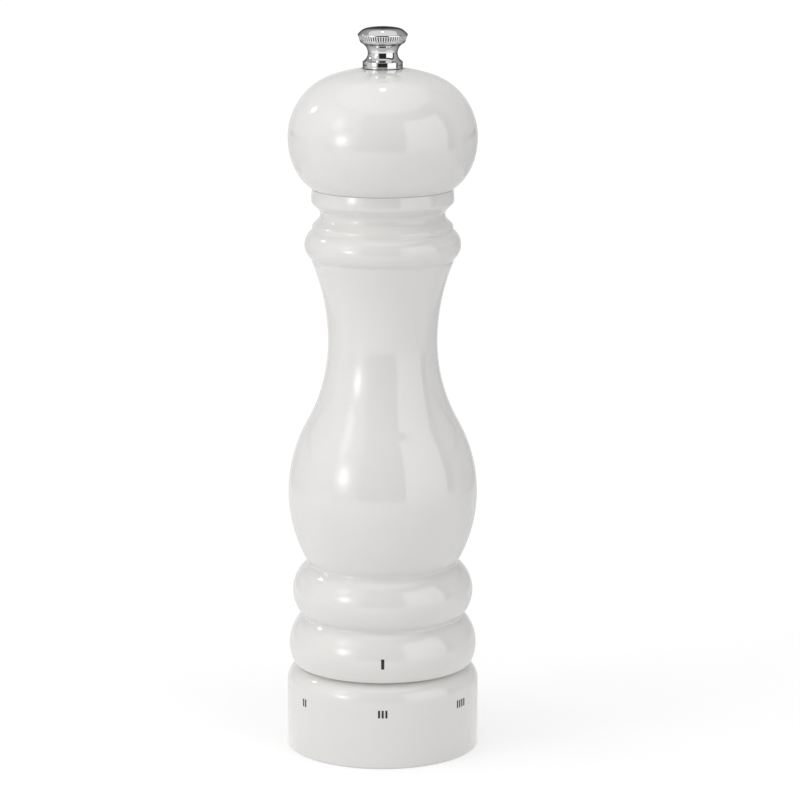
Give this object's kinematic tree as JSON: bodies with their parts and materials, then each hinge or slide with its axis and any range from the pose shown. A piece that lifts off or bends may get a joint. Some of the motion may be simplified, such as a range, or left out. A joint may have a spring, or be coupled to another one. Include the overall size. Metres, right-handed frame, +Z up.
{
  "type": "pepper mill",
  "caption": "Turned wooden pepper mill in gloss white lacquer with a round turning head, a chrome knob and a grind-setting ring at its foot.",
  "frame": {"origin": "centre of the foot, on the surface that the mill stands on", "axes": "+Z up along the turning axis; -Y faces the viewer, on the side of the pointer mark"},
  "size_m": [0.059, 0.059, 0.2219],
  "materials": {
    "lacquered_wood": "gloss white lacquer over turned beech",
    "black_plastic": "moulded, fine grain",
    "white_nylon": "natural nylon",
    "zinc_steel": "bright zinc plate",
    "spring_steel": "drawn spring steel",
    "grinder_steel": "case-hardened, dark",
    "shaft_alloy": "drawn square bar",
    "chrome": "polished",
    "brass": "turned"
  },
  "bodies": {
    "mill": {"body_shell": "lacquered_wood", "mechanism_housing": "black_plastic", "housing_screws": "zinc_steel", "bridge": "zinc_steel", "bridge_screws": "zinc_steel", "shaft_bush": "white_nylon", "key_plate": "zinc_steel", "key_plate_screws": "zinc_steel", "click_spring": "spring_steel", "click_screw": "zinc_steel"},
    "setting_ring": {"adjust_ring": "lacquered_wood", "ring_liner": "black_plastic"},
    "stator_slide": {"stator_carrier": "black_plastic", "stator": "grinder_steel", "stator_screws": "zinc_steel"},
    "drive": {"drive_shaft": "shaft_alloy", "rotor": "grinder_steel", "rotor_washer": "zinc_steel", "rotor_screw": "zinc_steel", "spring_seat": "zinc_steel", "thrust_spring": "spring_steel"},
    "head": {"head_shell": "lacquered_wood", "drive_plate": "zinc_steel", "drive_plate_screws": "zinc_steel"},
    "washer": {"knob_washer": "white_nylon"},
    "knob_cap": {"knob": "chrome", "knob_insert": "brass"}
  },
  "joints": [
    {"name": "ring_turn", "type": "hinge", "parent": "mill", "child": "setting_ring", "pos_m": [0, 0, 0.013], "axis": [0, 0, 1], "range_deg": [-162, 108], "deforming": ["click_spring"]},
    {"name": "stator_lift", "type": "slide", "parent": "mill", "child": "stator_slide", "axis": [0, 0, 1], "range_m": [-0.00073, 0.00109]},
    {"name": "head_turn", "type": "hinge", "parent": "mill", "child": "drive", "pos_m": [0, 0, 0.0375], "axis": [0, 0, 1], "continuous": true},
    {"name": "head_lift", "type": "slide", "parent": "drive", "child": "head", "axis": [0, 0, 1], "range_m": [0, 0.058]},
    {"name": "knob_lift", "type": "slide", "parent": "head", "child": "washer", "axis": [0, 0, 1], "range_m": [0, 0.00721]},
    {"name": "knob_turn", "type": "hinge", "parent": "washer", "child": "knob_cap", "pos_m": [0, 0, 0.2095], "axis": [0, 0, 1], "range_deg": [0, 3240]}
  ],
  "couplings": [
    {"joint": "stator_lift", "follows": "ring_turn", "m_per_rad": -0.00038197},
    {"joint": "knob_lift", "follows": "knob_turn", "m_per_rad": 0.00012732}
  ]
}
